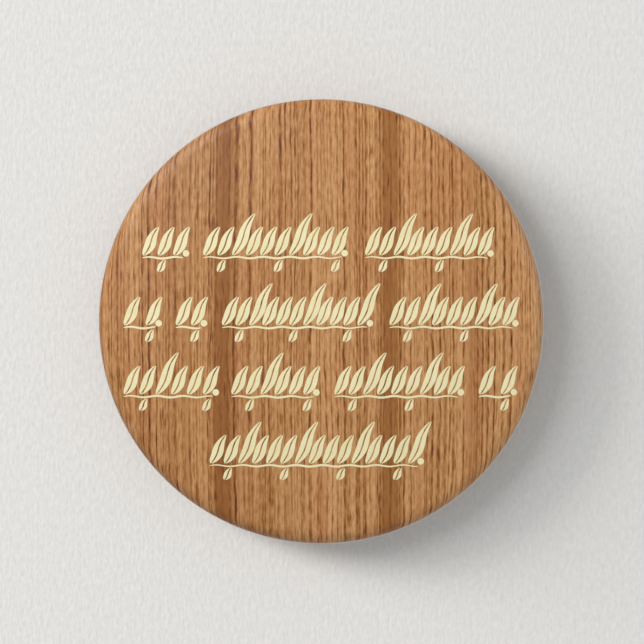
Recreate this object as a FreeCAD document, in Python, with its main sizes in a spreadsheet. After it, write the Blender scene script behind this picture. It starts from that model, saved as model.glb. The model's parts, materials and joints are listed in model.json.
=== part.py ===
import FreeCAD, Part
import math
import os

import Sketcher

# A pin-back button badge, 2 1/4 inches across, as it is worn: +Z is up, the printed face looks
# along -Y and the pin is behind, on the +Y side. The origin is the centre of the rim's rear
# plane, which lies against the cloth. Lengths are in millimetres, angles in degrees.
#
# The nested skins are one profile at different depths, turned about the Y axis:
#   clear_film    polyester film, outermost, wrapped round the rim and tucked in behind it
#   printed_disc  the printed paper under it, tucked in with it
#   front_shell   domed tinplate with its edge curled in
# back_plate is the tinplate back that locks inside the curl, with two bridges lanced out of it.
# The pin is one bent wire in three solids: base_wire (held by the bridges, ends in the hook),
# spring_bend (the elastic U) and pin_arm (the shank and its point, which swings open).

# ------------------------------------------------------------------ driving dimensions

DIMENSIONS = [
    ("badge_radius", 28.575, "outside of the film at the rim"),
    ("face_depth", 5.9, "from the rear plane to the middle of the domed face"),
    ("dome_radius", 190.0, "radius of the domed face"),
    ("shoulder_radius", 2.0, "round edge between face and side"),
    ("curl_radius", 1.1, "round edge between side and rear"),
    ("tuck_radius", 26.0, "where film and paper turn in behind the rim"),
    ("fold_radius", 0.6, "round edge of that turn"),
    ("tuck_depth", 1.8, "how far film and paper reach inside, from the rear plane"),
    ("film_thickness", 0.08, "clear polyester film"),
    ("paper_thickness", 0.12, "printed paper"),
    ("shell_thickness", 0.28, "tinplate of the front shell"),
    ("layer_gap", 0.03, "air left between one skin and the next"),
    ("plate_thickness", 0.3, "tinplate of the back plate"),
    ("floor_depth", 1.25, "recessed middle of the back plate, below the rear plane"),
    ("floor_radius", 19.9, "flat middle of the back plate"),
    ("ring_depth", 0.55, "raised ring of the back plate, below the rear plane"),
    ("bend_inside", 0.5, "inside radius of the bends in the back plate"),
    ("step_slope", 45.0, "slope of the step up to the ring, and of the flare"),
    ("flange_radius", 25.85, "outside of the back plate's flange"),
    ("flange_bend", 0.75, "outside radius between ring and flange"),
    ("flange_depth", 1.6, "where the flange starts to flare"),
    ("flare_radius", 26.8, "how far the flare reaches out behind the curl"),
    ("pin_wire_radius", 0.45, "spring wire"),
    ("wire_gap", 0.03, "air between the wire and the metal round it"),
    ("pin_height", 6.5, "height of the fixed wire above the badge's middle"),
    ("bend_x", 14.8, "where the spring bend begins"),
    ("bend_diameter", 2.8, "across the spring bend, wire middle to wire middle"),
    ("bend_shift", 0.7, "how far the bend carries the wire along the hinge axis"),
    ("hinge_tilt", 45.0, "tilt of the hinge axis from the plate's normal"),
    ("crank_angle", 10.0, "dog-leg between the bend and the straight shank"),
    ("crank_radius", 5.0, "radius of the dog-leg's two bends"),
    ("hook_x", -15.5, "plane of the hook"),
    ("hook_corner", 1.0, "radius where the fixed wire turns up"),
    ("hook_radius", 1.1, "radius of the hook over the pin, to the wire's middle"),
    ("hook_sweep", 93.0, "how far the hook curls over"),
    ("point_start_x", -13.5, "where the ground point begins"),
    ("point_tip_x", -18.5, "the sharp end"),
    ("point_tip_radius", 0.04, "what is left of the wire at the sharp end"),
    ("joint_gap", 0.05, "air between the spring bend and the moving arm"),
    ("bridge_x", -8.5, "middle of the first bridge"),
    ("bridge_spacing", 16.0, "from the first bridge to the second"),
    ("bridge_width", 3.2, "width of a bridge along the wire"),
    ("bridge_foot_half", 1.75, "half of the slot under a bridge, across the wire"),
    ("bridge_shoulder", 0.18, "how much wider a bridge is outside, on each side"),
    ("bridge_lean", 33.0, "lean of a bridge's legs from the plate's normal"),
    ("bridge_corner", 0.25, "inside radius between a bridge's leg and its top"),
]

doc = FreeCAD.newDocument("button_badge")
sheet = doc.addObject("Spreadsheet::Sheet", "Sizes")
for row, (alias, value, meaning) in enumerate(DIMENSIONS, start=1):
    sheet.set(f"A{row}", meaning)
    sheet.set(f"B{row}", str(value))
    sheet.setAlias(f"B{row}", alias)
doc.recompute()


def size(alias):
    """The plain number in the sheet's cell of that name."""
    return float(sheet.get(alias))


def cells(expression):
    """The expression with every alias written as a cell of the sheet."""
    words = expression.replace("(", "( ").replace(")", " )").split()
    names = {alias for alias, _, _ in DIMENSIONS}
    return " ".join(f"Sizes.{word}" if word in names else word for word in words)


def depth_of(expression):
    """The value of an expression in the sheet's aliases."""
    return float(sheet.evalExpression(cells(expression)))


# ------------------------------------------------------------------ sketch helpers

# How a sketch numbers its own origin and vertical axis, and the places on a line or arc.
ORIGIN, VERTICAL_AXIS = -1, -2
START, END, MIDDLE = 1, 2, 3


def polar(centre, radius, degrees):
    """The point at that angle on a circle, in a sketch's plane."""
    angle = math.radians(degrees)
    return centre + FreeCAD.Vector(radius * math.cos(angle), radius * math.sin(angle), 0)


def new_body(label):
    body = doc.addObject("PartDesign::Body", f"body_{label}")
    body.Label = label
    return body


def new_sketch(body, name, plane):
    """An empty sketch on one of the body's own origin planes."""
    sketch = body.newObject("Sketcher::SketchObject", name)
    support = [feature for feature in body.Origin.OriginFeatures if feature.Role == plane]
    sketch.AttachmentSupport = [(support[0], "")]
    sketch.MapMode = "FlatFace"
    return sketch


def bind(sketch, kind, *places, to):
    """Adds a dimension between places and ties it to an expression in the sheet's aliases."""
    index = sketch.addConstraint(Sketcher.Constraint(kind, *places, depth_of(to)))
    sketch.setExpression(f"Constraints[{index}]", cells(to))


def bind_angle(sketch, line, degrees, expression):
    """Fixes a line's direction and ties it to an expression in the sheet's aliases."""
    index = sketch.addConstraint(Sketcher.Constraint("Angle", line, math.radians(degrees)))
    sketch.setExpression(f"Constraints[{index}]", cells(expression))


def add_line(sketch, start, end):
    """A line; gives its number and the ends where a run enters and leaves it."""
    return sketch.addGeometry(Part.LineSegment(start, end), False), START, END


def add_arc(sketch, centre, radius, start, end):
    """An arc from one angle to another, either way round, as add_line gives it."""
    circle = Part.Circle(centre, FreeCAD.Vector(0, 0, 1), radius)
    low, high = math.radians(min(start, end)), math.radians(max(start, end))
    number = sketch.addGeometry(Part.ArcOfCircle(circle, low, high), False)
    return (number, START, END) if end > start else (number, END, START)


def join_smoothly(sketch, run):
    """Makes each piece of a run start where the one before it ends, in the same direction."""
    for (before, _, leave), (after, enter, _) in zip(run, run[1:]):
        sketch.addConstraint(Sketcher.Constraint("Tangent", before, leave, after, enter))


def close_between(sketch, first, second, end):
    """A straight cap between the same ends of two pieces, one from each run."""
    cap, _, _ = add_line(sketch, sketch.getPoint(first, end), sketch.getPoint(second, end))
    sketch.addConstraint(Sketcher.Constraint("Coincident", cap, START, first, end))
    sketch.addConstraint(Sketcher.Constraint("Coincident", cap, END, second, end))


def turn_about_y(body, sketch, name):
    """The sketch, drawn with its x as the radius, turned a full circle about the Y axis."""
    doc.recompute()
    revolution = body.newObject("PartDesign::Revolution", name)
    revolution.Profile = sketch
    revolution.ReferenceAxis = (sketch, ["V_Axis"])
    revolution.Angle = 360.0
    sketch.Visibility = False
    return revolution


# ------------------------------------------------------------------ film, paper and shell


def rim_run(sketch, depth, tucked):
    """The badge's outline at a depth below its outside, from the face's middle to the rear.

    Face, shoulder, side, rear curl and rear flat; tucked skins then fold and run forward.
    """
    below = depth_of(depth)
    dome_middle = FreeCAD.Vector(0, size("dome_radius") - size("face_depth"), 0)
    shoulder_x = size("badge_radius") - size("shoulder_radius")
    reach = size("dome_radius") - size("shoulder_radius")
    shoulder_y = dome_middle.y - math.sqrt(reach**2 - shoulder_x**2)
    shoulder_middle = FreeCAD.Vector(shoulder_x, shoulder_y, 0)
    meeting = math.degrees(math.atan2(shoulder_y - dome_middle.y, shoulder_x))
    curl_middle = FreeCAD.Vector(size("badge_radius") - size("curl_radius"), -size("curl_radius"), 0)
    fold_middle = FreeCAD.Vector(size("tuck_radius") + size("fold_radius"), -size("fold_radius"), 0)

    side_low = polar(shoulder_middle, size("shoulder_radius") - below, 0)
    side_high = polar(curl_middle, size("curl_radius") - below, 0)
    flat_out = polar(curl_middle, size("curl_radius") - below, 90)
    flat_in = FreeCAD.Vector(fold_middle.x, -below, 0)

    dome = add_arc(sketch, dome_middle, size("dome_radius") - below, -90, meeting)
    shoulder = add_arc(sketch, shoulder_middle, size("shoulder_radius") - below, meeting, 0)
    side = add_line(sketch, side_low, side_high)
    curl = add_arc(sketch, curl_middle, size("curl_radius") - below, 0, 90)
    flat = add_line(sketch, flat_out, flat_in)
    run = [dome, shoulder, side, curl, flat]
    if tucked:
        fold = add_arc(sketch, fold_middle, size("fold_radius") - below, 90, 180)
        wall_top = polar(fold_middle, size("fold_radius") - below, 180)
        wall = add_line(sketch, wall_top, FreeCAD.Vector(wall_top.x, -size("tuck_depth"), 0))
        run += [fold, wall]
    join_smoothly(sketch, run)

    on_axis = [(dome[0], START), (dome[0], MIDDLE)]
    for place in on_axis:
        sketch.addConstraint(Sketcher.Constraint("PointOnObject", *place, VERTICAL_AXIS))
    sketch.addConstraint(Sketcher.Constraint("Vertical", side[0]))
    sketch.addConstraint(Sketcher.Constraint("Horizontal", flat[0]))
    bind(sketch, "DistanceY", ORIGIN, START, dome[0], MIDDLE, to="dome_radius - face_depth")
    bind(sketch, "Radius", dome[0], to=f"dome_radius - ( {depth} )")
    bind(sketch, "Radius", shoulder[0], to=f"shoulder_radius - ( {depth} )")
    bind(sketch, "DistanceX", ORIGIN, START, side[0], START, to=f"badge_radius - ( {depth} )")
    bind(sketch, "Radius", curl[0], to=f"curl_radius - ( {depth} )")
    bind(sketch, "DistanceY", curl[0], MIDDLE, ORIGIN, START, to="curl_radius")
    if tucked:
        sketch.addConstraint(Sketcher.Constraint("Vertical", wall[0]))
        bind(sketch, "Radius", fold[0], to=f"fold_radius - ( {depth} )")
        bind(sketch, "DistanceX", ORIGIN, START, fold[0], MIDDLE, to="tuck_radius + fold_radius")
        bind(sketch, "DistanceY", wall[0], END, ORIGIN, START, to="tuck_depth")
    else:
        bind(sketch, "DistanceX", ORIGIN, START, flat[0], END, to="tuck_radius + fold_radius")
    return run


def make_skin(label, outer, inner, tucked):
    """One nested skin between two depths below the badge's outside."""
    body = new_body(label)
    sketch = new_sketch(body, f"{label}_profile", "XY_Plane")
    outside = rim_run(sketch, outer, tucked)
    inside = rim_run(sketch, inner, tucked)
    close_between(sketch, inside[0][0], outside[0][0], START)
    close_between(sketch, outside[-1][0], inside[-1][0], END)
    turn_about_y(body, sketch, f"{label}_revolution")
    return body


paper_outer = "film_thickness + layer_gap"
paper_inner = f"{paper_outer} + paper_thickness"
shell_outer = f"{paper_inner} + layer_gap"
shell_inner = f"{shell_outer} + shell_thickness"

clear_film = make_skin("clear_film", "0", "film_thickness", tucked=True)
printed_disc = make_skin("printed_disc", paper_outer, paper_inner, tucked=True)
front_shell = make_skin("front_shell", shell_outer, shell_inner, tucked=False)

# ------------------------------------------------------------------ back plate


def plate_run(sketch, rear):
    """The back plate's outline from its middle outwards, on its rear or its front side.

    Floor, step up to the raised ring, ring, round edge, flange and flare.
    """
    sheet_below = 0.0 if rear else size("plate_thickness")
    inside = size("bend_inside")
    slope_angle = size("step_slope")
    slope_radians = math.radians(slope_angle)
    up_radius = inside if rear else inside + size("plate_thickness")
    over_radius = inside + size("plate_thickness") if rear else inside
    edge_radius = size("flange_bend") - sheet_below
    flare_radius = inside + size("plate_thickness") if not rear else inside

    up_middle = FreeCAD.Vector(size("floor_radius"), inside - size("floor_depth"), 0)
    rise = size("floor_depth") - size("ring_depth")
    bends = 2 * inside + size("plate_thickness")
    slope_rise = rise - bends * (1 - math.cos(slope_radians))
    slope_run = slope_rise / math.tan(slope_radians)
    over_x = up_middle.x + bends * math.sin(slope_radians) + slope_run
    over_y = -size("ring_depth") - size("plate_thickness") - inside
    over_middle = FreeCAD.Vector(over_x, over_y, 0)
    edge_x = size("flange_radius") - size("flange_bend")
    edge_middle = FreeCAD.Vector(edge_x, -size("ring_depth") - size("flange_bend"), 0)
    flare_middle = FreeCAD.Vector(size("flange_radius") + inside, -size("flange_depth"), 0)

    floor_end = polar(up_middle, up_radius, -90)
    slope_low = polar(up_middle, up_radius, -slope_angle)
    slope_high = polar(over_middle, over_radius, 180 - slope_angle)
    ring_in = polar(over_middle, over_radius, 90)
    ring_out = polar(edge_middle, edge_radius, 90)
    flange_top = polar(edge_middle, edge_radius, 0)
    flange_low = polar(flare_middle, flare_radius, 180)
    flare_top = polar(flare_middle, flare_radius, 180 + slope_angle)
    flare_length = (size("flare_radius") - flare_top.x) / math.cos(slope_radians)
    flare_end = polar(flare_top, flare_length, -slope_angle)

    floor = add_line(sketch, FreeCAD.Vector(0, floor_end.y, 0), floor_end)
    step_up = add_arc(sketch, up_middle, up_radius, -90, -slope_angle)
    slope = add_line(sketch, slope_low, slope_high)
    step_over = add_arc(sketch, over_middle, over_radius, 180 - slope_angle, 90)
    ring = add_line(sketch, ring_in, ring_out)
    edge = add_arc(sketch, edge_middle, edge_radius, 90, 0)
    flange = add_line(sketch, flange_top, flange_low)
    flare_bend = add_arc(sketch, flare_middle, flare_radius, 180, 180 + slope_angle)
    flare = add_line(sketch, flare_top, flare_end)
    run = [floor, step_up, slope, step_over, ring, edge, flange, flare_bend, flare]
    join_smoothly(sketch, run)

    below = "0" if rear else "plate_thickness"
    up = "bend_inside" if rear else "bend_inside + plate_thickness"
    over = "bend_inside + plate_thickness" if rear else "bend_inside"
    sketch.addConstraint(Sketcher.Constraint("PointOnObject", floor[0], START, VERTICAL_AXIS))
    sketch.addConstraint(Sketcher.Constraint("Horizontal", floor[0]))
    sketch.addConstraint(Sketcher.Constraint("Horizontal", ring[0]))
    sketch.addConstraint(Sketcher.Constraint("Vertical", flange[0]))
    bind(sketch, "DistanceY", floor[0], START, ORIGIN, START, to=f"floor_depth + {below}")
    bind(sketch, "DistanceX", ORIGIN, START, step_up[0], MIDDLE, to="floor_radius")
    bind(sketch, "Radius", step_up[0], to=up)
    bind(sketch, "Radius", step_over[0], to=over)
    bind(sketch, "DistanceY", step_over[0], MIDDLE, ORIGIN, START,
         to="ring_depth + plate_thickness + bend_inside")
    bind(sketch, "Radius", edge[0], to=f"flange_bend - ( {below} )")
    bind(sketch, "DistanceX", ORIGIN, START, edge[0], MIDDLE, to="flange_radius - flange_bend")
    bind(sketch, "Radius", flare_bend[0], to=up)
    bind(sketch, "DistanceY", flare_bend[0], MIDDLE, ORIGIN, START, to="flange_depth")
    bind(sketch, "DistanceX", ORIGIN, START, flare[0], END, to="flare_radius")
    bind_angle(sketch, slope[0], slope_angle, "step_slope * 1 deg")
    bind_angle(sketch, flare[0], -slope_angle, "-1 deg * step_slope")
    return run


def bridge_sketch(body, name, lift, foot, widening):
    """A bridge's outline across the wire: lift above the wire, foot below the plate's rear.

    It is drawn on the YZ plane, so the sketch's x is the object's Y and its y is the height Z.
    Two leaning legs, a flat top and a round corner between each leg and the top.
    """
    sketch = new_sketch(body, name, "YZ_Plane")
    sketch.setExpression("AttachmentOffset.Base.z", cells("bridge_x"))
    top = f"2 * pin_wire_radius + 2 * wire_gap - floor_depth + {lift}"
    corner = f"bridge_corner + {lift}"
    half_foot = f"bridge_foot_half + {widening}"

    low, high = -depth_of(f"floor_depth + {foot}"), depth_of(top)
    middle, lean, radius = size("pin_height"), size("bridge_lean"), depth_of(corner)
    foot_reach = depth_of(half_foot)
    sharp_reach = foot_reach - (high - low) * math.tan(math.radians(lean))
    round_reach = sharp_reach - radius * math.tan(math.radians(90 - lean) / 2)
    left_middle = FreeCAD.Vector(high - radius, middle - round_reach, 0)
    right_middle = FreeCAD.Vector(high - radius, middle + round_reach, 0)
    left_foot = FreeCAD.Vector(low, middle - foot_reach, 0)
    right_foot = FreeCAD.Vector(low, middle + foot_reach, 0)

    left_leg = add_line(sketch, left_foot, polar(left_middle, radius, lean - 90))
    left_corner = add_arc(sketch, left_middle, radius, lean - 90, 0)
    flat = add_line(sketch, polar(left_middle, radius, 0), polar(right_middle, radius, 0))
    right_corner = add_arc(sketch, right_middle, radius, 0, 90 - lean)
    right_leg = add_line(sketch, polar(right_middle, radius, 90 - lean), right_foot)
    join_smoothly(sketch, [left_leg, left_corner, flat, right_corner, right_leg])
    base, _, _ = add_line(sketch, left_foot, right_foot)
    sketch.addConstraint(Sketcher.Constraint("Coincident", base, START, left_leg[0], START))
    sketch.addConstraint(Sketcher.Constraint("Coincident", base, END, right_leg[0], END))

    sketch.addConstraint(Sketcher.Constraint("Vertical", flat[0]))
    sketch.addConstraint(Sketcher.Constraint("Vertical", base))
    bind(sketch, "DistanceX", base, START, ORIGIN, START, to=f"floor_depth + {foot}")
    bind(sketch, "DistanceX", ORIGIN, START, flat[0], START, to=top)
    bind(sketch, "DistanceY", ORIGIN, START, base, START, to=f"pin_height - ( {half_foot} )")
    bind(sketch, "DistanceY", ORIGIN, START, base, END, to=f"pin_height + {half_foot}")
    bind(sketch, "Radius", left_corner[0], to=corner)
    bind(sketch, "Radius", right_corner[0], to=corner)
    bind_angle(sketch, left_leg[0], lean, "1 deg * bridge_lean")
    bind_angle(sketch, right_leg[0], 180 - lean, "180 deg - 1 deg * bridge_lean")
    return sketch


def add_bridge_feature(body, kind, name, sketch):
    """Pads or pockets a bridge's outline to both sides of its sketch."""
    doc.recompute()
    feature = body.newObject(kind, name)
    feature.Profile = sketch
    feature.Midplane = True
    feature.setExpression("Length", cells("bridge_width"))
    sketch.Visibility = False
    doc.recompute()
    return feature


back_plate = new_body("back_plate")
plate_profile = new_sketch(back_plate, "back_plate_profile", "XY_Plane")
rear_side = plate_run(plate_profile, rear=True)
front_side = plate_run(plate_profile, rear=False)
close_between(plate_profile, front_side[0][0], rear_side[0][0], START)
close_between(plate_profile, rear_side[-1][0], front_side[-1][0], END)
turn_about_y(back_plate, plate_profile, "back_plate_revolution")

bridge_outside = bridge_sketch(
    back_plate, "bridge_outside", "plate_thickness", "plate_thickness", "bridge_shoulder"
)
bridge_pad = add_bridge_feature(back_plate, "PartDesign::Pad", "bridge", bridge_outside)
plate_with_block = back_plate.Shape.Volume
bridge_inside = bridge_sketch(back_plate, "bridge_inside", "0", "2 * plate_thickness", "0")
bridge_slot = add_bridge_feature(back_plate, "PartDesign::Pocket", "bridge_slot", bridge_inside)
assert back_plate.Shape.Volume < plate_with_block, "the slot under the bridge cut nothing"

bridges = back_plate.newObject("PartDesign::LinearPattern", "bridges")
bridges.Originals = [bridge_pad, bridge_slot]
bridges.Direction = (bridge_outside, ["N_Axis"])
bridges.Occurrences = 2
bridges.setExpression("Length", cells("bridge_spacing"))
back_plate.Tip = bridges
doc.recompute()

# ------------------------------------------------------------------ the pin's bent wire


class BentWire:
    """Round wire followed from one end: straight stretches and bends that join smoothly."""

    def __init__(self, place, heading):
        self.place = place
        self.heading = heading
        self.radius = size("pin_wire_radius")
        self.pieces = []

    def straight(self, length):
        self.pieces.append(Part.makeCylinder(self.radius, length, self.place, self.heading))
        self.place = self.place + self.heading * length

    def bend(self, towards, radius, degrees):
        """Turns towards a direction square to the heading, about a middle on that side."""
        middle = self.place + towards * radius
        axis = self.heading.cross(towards)
        section = Part.Face(Part.Wire(Part.makeCircle(self.radius, self.place, self.heading)))
        self.pieces.append(section.revolve(middle, axis, degrees))
        turn = FreeCAD.Rotation(axis, degrees)
        self.place = middle + turn.multVec(self.place - middle)
        self.heading = turn.multVec(self.heading)

    def point(self, length, tip_radius):
        cone = Part.makeCone(self.radius, tip_radius, length, self.place, self.heading)
        self.pieces.append(cone)
        self.place = self.place + self.heading * length

    def solid(self):
        first, others = self.pieces[0], self.pieces[1:]
        joined = first.fuse(others).removeSplitter() if others else first
        return joined.Solids[0]


def add_wire(label, wire):
    """A document object for a bent wire, whose path is no sketch's."""
    feature = doc.addObject("Part::Feature", f"wire_{label}")
    feature.Label = label
    feature.Shape = wire.solid()
    feature.Placement = FreeCAD.Placement()
    return feature


tilt = math.radians(size("hinge_tilt"))
ALONG = FreeCAD.Vector(-1, 0, 0)  # from the spring bend to the hook
BACK = FreeCAD.Vector(0, 1, 0)  # away from the face
UP = FreeCAD.Vector(0, 0, 1)
HINGE_AXIS = FreeCAD.Vector(0, math.cos(tilt), -math.sin(tilt))
OPENING = FreeCAD.Vector(0, math.sin(tilt), math.cos(tilt))  # the way the point moves off

fixed_y = size("pin_wire_radius") + size("wire_gap") - size("floor_depth")
bend_start = FreeCAD.Vector(size("bend_x"), fixed_y, size("pin_height"))
across_bend = OPENING * size("bend_diameter") + HINGE_AXIS * size("bend_shift")
bend_middle = bend_start + across_bend * 0.5
bend_end = bend_start + across_bend

# The shank lies where it makes the hook stand straight up beside it: its height above the fixed
# wire is the hook's radius.
shank_offset = (size("hook_radius") + math.sin(tilt) * size("bend_shift")) / math.cos(tilt)
crank_drop = size("bend_diameter") - shank_offset
crank = math.radians(size("crank_angle"))
bends_drop = 2 * size("crank_radius") * (1 - math.cos(crank))
crank_length = (crank_drop - bends_drop) / math.sin(crank)

spring = BentWire(bend_start, -ALONG)
spring.bend(across_bend * (1 / across_bend.Length), across_bend.Length / 2, 180)
spring_bend = add_wire("spring_bend", spring)

arm = BentWire(bend_end + ALONG * size("joint_gap"), ALONG)
arm.bend(-OPENING, size("crank_radius"), size("crank_angle"))
arm.straight(crank_length)
arm.bend(HINGE_AXIS.cross(arm.heading), size("crank_radius"), size("crank_angle"))
shank_start = FreeCAD.Vector(arm.place)
arm.straight(arm.place.x - size("point_start_x"))
arm.point(size("point_start_x") - size("point_tip_x"), size("point_tip_radius"))
pin_arm = add_wire("pin_arm", arm)

shank_rise = shank_start.y - fixed_y
base = BentWire(bend_start, ALONG)
base.straight(size("bend_x") - size("hook_x") - size("hook_corner"))
base.bend(BACK, size("hook_corner"), 90)
base.straight(shank_rise - size("hook_corner"))
base.bend(UP, size("hook_radius"), size("hook_sweep"))
base_wire = add_wire("base_wire", base)

# ------------------------------------------------------------------ checks and files

doc.recompute()
for thing in doc.Objects:
    faults = [state for state in thing.State if state in ("Invalid", "Error")]
    assert not faults, f"{thing.Label} is {faults}"
    if thing.TypeId == "Sketcher::SketchObject":
        assert thing.FullyConstrained, f"{thing.Label} is not fully constrained"

sub_parts = [clear_film, printed_disc, front_shell, back_plate, base_wire, spring_bend, pin_arm]
for sub_part in sub_parts:
    shape = sub_part.Shape
    assert not shape.isNull() and shape.isValid(), f"{sub_part.Label} has no valid shape"
    assert len(shape.Solids) == 1, f"{sub_part.Label} is {len(shape.Solids)} solids"
for sub_part in sub_parts:
    sub_part.Shape.exportStep(f"parts/{sub_part.Label}.step")
    print(sub_part.Label, f"{sub_part.Shape.Volume:.2f} mm3")

print("hinge", [round(value, 4) for value in bend_middle], [round(value, 4) for value in HINGE_AXIS])
print("shank from", [round(value, 4) for value in shank_start], "to x", size("point_start_x"))
print("hook middle y", round(shank_start.y, 4), "z", round(shank_start.z, 4))
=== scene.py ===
# %% [markdown]
# # A round pin-back badge, 57 mm across
#
# A pin-back badge is pressed together from four discs and one bent wire. A printed paper disc and a
# clear film lie over a domed tinplate shell, their edges are tucked in behind, and a tinplate back
# locks inside the tuck. The wire is sprung under two bridges in the back and ends in a sharp point.
#
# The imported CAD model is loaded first, as a fixed frame. Everything made below is in metres in that
# same frame: the face looks along -Y, +Z is up, and Y = 0 is the rear plane of the rim.

# %% Load the frame
import json
import math
import bpy
import numpy as np
from mathutils import Matrix, Vector

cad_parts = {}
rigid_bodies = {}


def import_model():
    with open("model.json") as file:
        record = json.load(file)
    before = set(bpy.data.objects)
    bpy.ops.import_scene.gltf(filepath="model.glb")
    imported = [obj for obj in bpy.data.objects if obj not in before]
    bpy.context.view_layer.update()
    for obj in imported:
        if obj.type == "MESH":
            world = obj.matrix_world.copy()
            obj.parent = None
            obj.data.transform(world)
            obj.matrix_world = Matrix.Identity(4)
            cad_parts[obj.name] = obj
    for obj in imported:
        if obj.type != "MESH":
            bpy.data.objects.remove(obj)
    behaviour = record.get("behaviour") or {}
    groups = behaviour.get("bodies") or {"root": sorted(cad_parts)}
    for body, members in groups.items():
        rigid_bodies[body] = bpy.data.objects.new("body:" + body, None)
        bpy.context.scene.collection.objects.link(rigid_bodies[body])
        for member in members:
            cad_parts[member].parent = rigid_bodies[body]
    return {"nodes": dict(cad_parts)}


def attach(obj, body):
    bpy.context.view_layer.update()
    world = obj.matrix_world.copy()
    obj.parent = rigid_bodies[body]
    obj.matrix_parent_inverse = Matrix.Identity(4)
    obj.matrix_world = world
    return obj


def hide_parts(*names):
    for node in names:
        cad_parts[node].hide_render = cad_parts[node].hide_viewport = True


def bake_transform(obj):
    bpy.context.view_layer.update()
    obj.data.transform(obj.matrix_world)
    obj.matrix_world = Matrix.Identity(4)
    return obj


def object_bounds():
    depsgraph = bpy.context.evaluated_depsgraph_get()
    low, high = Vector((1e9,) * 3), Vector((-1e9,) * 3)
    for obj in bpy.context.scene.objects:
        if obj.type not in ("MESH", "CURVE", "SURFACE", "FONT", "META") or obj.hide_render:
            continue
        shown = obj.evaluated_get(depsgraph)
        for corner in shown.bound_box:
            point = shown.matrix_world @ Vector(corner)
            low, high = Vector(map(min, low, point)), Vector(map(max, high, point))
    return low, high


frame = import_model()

MM = 0.001
scene_objects = bpy.context.scene.collection.objects
cad_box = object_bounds()
print("CAD nodes:", ", ".join(sorted(frame["nodes"])))
print("CAD box in mm:", [[round(value / MM, 2) for value in corner] for corner in cad_box])

# %% [markdown]
# ## Meshes from numpy grids
#
# Each piece here is a surface that a press, a roller or a bending tool makes, so each is a function
# of two parameters: how far along a profile or a path, and how far around. The points are worked out
# as one array, and neighbouring points are joined by quads. A closed seam is joined by wrapping the
# last row or column to the first, and a pole is one shared point with a fan of triangles. Sculpting
# or modifiers could give the same shapes, but numbers keep every sheet a true thickness apart.


# %% Grid and piece helpers
def grid_quads(rows, columns, wrap_rows=False, wrap_columns=False, first=0):
    """Quads between neighbours of a grid stored row by row: (i, j), (i+1, j), (i+1, j+1), (i, j+1)."""
    i = np.arange(rows if wrap_rows else rows - 1)[:, None]
    j = np.arange(columns if wrap_columns else columns - 1)[None, :]
    below, beside = (i + 1) % rows, (j + 1) % columns
    corners = [i * columns + j, below * columns + j, below * columns + beside, i * columns + beside]
    return first + np.stack(corners, axis=-1).reshape(-1, 4)


def fan(pole, ring, outwards_first):
    """Triangles from one pole point to each pair of neighbours round a ring of point numbers."""
    after = np.roll(ring, -1)
    pair = (after, ring) if outwards_first else (ring, after)
    return np.stack([np.full_like(ring, pole), *pair], axis=-1)


def make_piece(name, points, faces, material, sharp_angle=None):
    """A mesh object at the origin from an array of points in metres and lists of face corners."""
    mesh = bpy.data.meshes.new(name)
    corners = [face for group in faces for face in np.asarray(group).tolist()]
    mesh.from_pydata(np.asarray(points, float).tolist(), [], corners)
    mesh.shade_smooth()
    if sharp_angle is not None:
        mesh.set_sharp_from_angle(angle=math.radians(sharp_angle))
    mesh.materials.append(material)
    mesh.validate()
    piece = bpy.data.objects.new(name, mesh)
    scene_objects.link(piece)
    low, high = np.min(points, axis=0) / MM, np.max(points, axis=0) / MM
    print(f"{name}: {len(mesh.polygons)} faces, {np.round(low, 2)} to {np.round(high, 2)} mm")
    return piece


# %% Profiles turned about the badge's axis
def arc(centre, radius, start, stop, step=0.06):
    """Points on a circle in the (r, y) half plane: centre + radius (sin t, -cos t), t in degrees.

    t = 0 points to the front, 90 outwards and 180 to the rear. Neighbours are about step mm apart.
    """
    count = max(int(abs(radius * math.radians(stop - start)) / step), 6)
    turn = np.radians(np.linspace(start, stop, count))
    return np.stack([centre[0] + radius * np.sin(turn), centre[1] - radius * np.cos(turn)], axis=1)


def turned(profile, around):
    """The surface that a closed (r, y) outline from pole to pole sweeps about Y.

    Point (i, j) is (r_i cos a_j, y_i, r_i sin a_j) with a_j evenly round the circle. The first and
    last points of the outline are on the axis, and each is one pole with a fan of triangles.
    """
    angle = np.linspace(0, 2 * math.pi, around, endpoint=False)[None, :]
    r, y = profile[1:-1, 0:1], profile[1:-1, 1:2]
    rings = np.stack([r * np.cos(angle), y + 0 * angle, r * np.sin(angle)], axis=-1).reshape(-1, 3)
    poles = [[0, profile[0, 1], 0], [0, profile[-1, 1], 0]]
    points = np.concatenate([rings, poles])
    first_ring, last_ring = np.arange(around), len(rings) - around + np.arange(around)
    faces = [
        grid_quads(len(r), around, wrap_columns=True),
        fan(len(rings), first_ring, outwards_first=False),
        fan(len(rings) + 1, last_ring, outwards_first=True),
    ]
    return points * MM, faces


# %% A UV map from values at the points
def give_uv(piece, name, u, v, once_round=False):
    """Adds a UV map from one u and one v per point.

    Where u runs once round a tube from 0 to 1, the faces that cross the seam get u + 1 there.
    """
    mesh = piece.data
    corner_point = np.zeros(len(mesh.loops), np.int32)
    mesh.loops.foreach_get("vertex_index", corner_point)
    corner_u, corner_v = u[corner_point], v[corner_point]
    if once_round:
        sizes = np.zeros(len(mesh.polygons), np.int32)
        mesh.polygons.foreach_get("loop_total", sizes)
        face_of_corner = np.repeat(np.arange(len(sizes)), sizes)
        highest = np.zeros(len(sizes))
        np.maximum.at(highest, face_of_corner, corner_u)
        corner_u = corner_u + ((highest[face_of_corner] > 0.75) & (corner_u < 0.25))
    layer = mesh.uv_layers.new(name=name)
    layer.data.foreach_set("uv", np.stack([corner_u, corner_v], axis=1).ravel().astype(np.float32))


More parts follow.
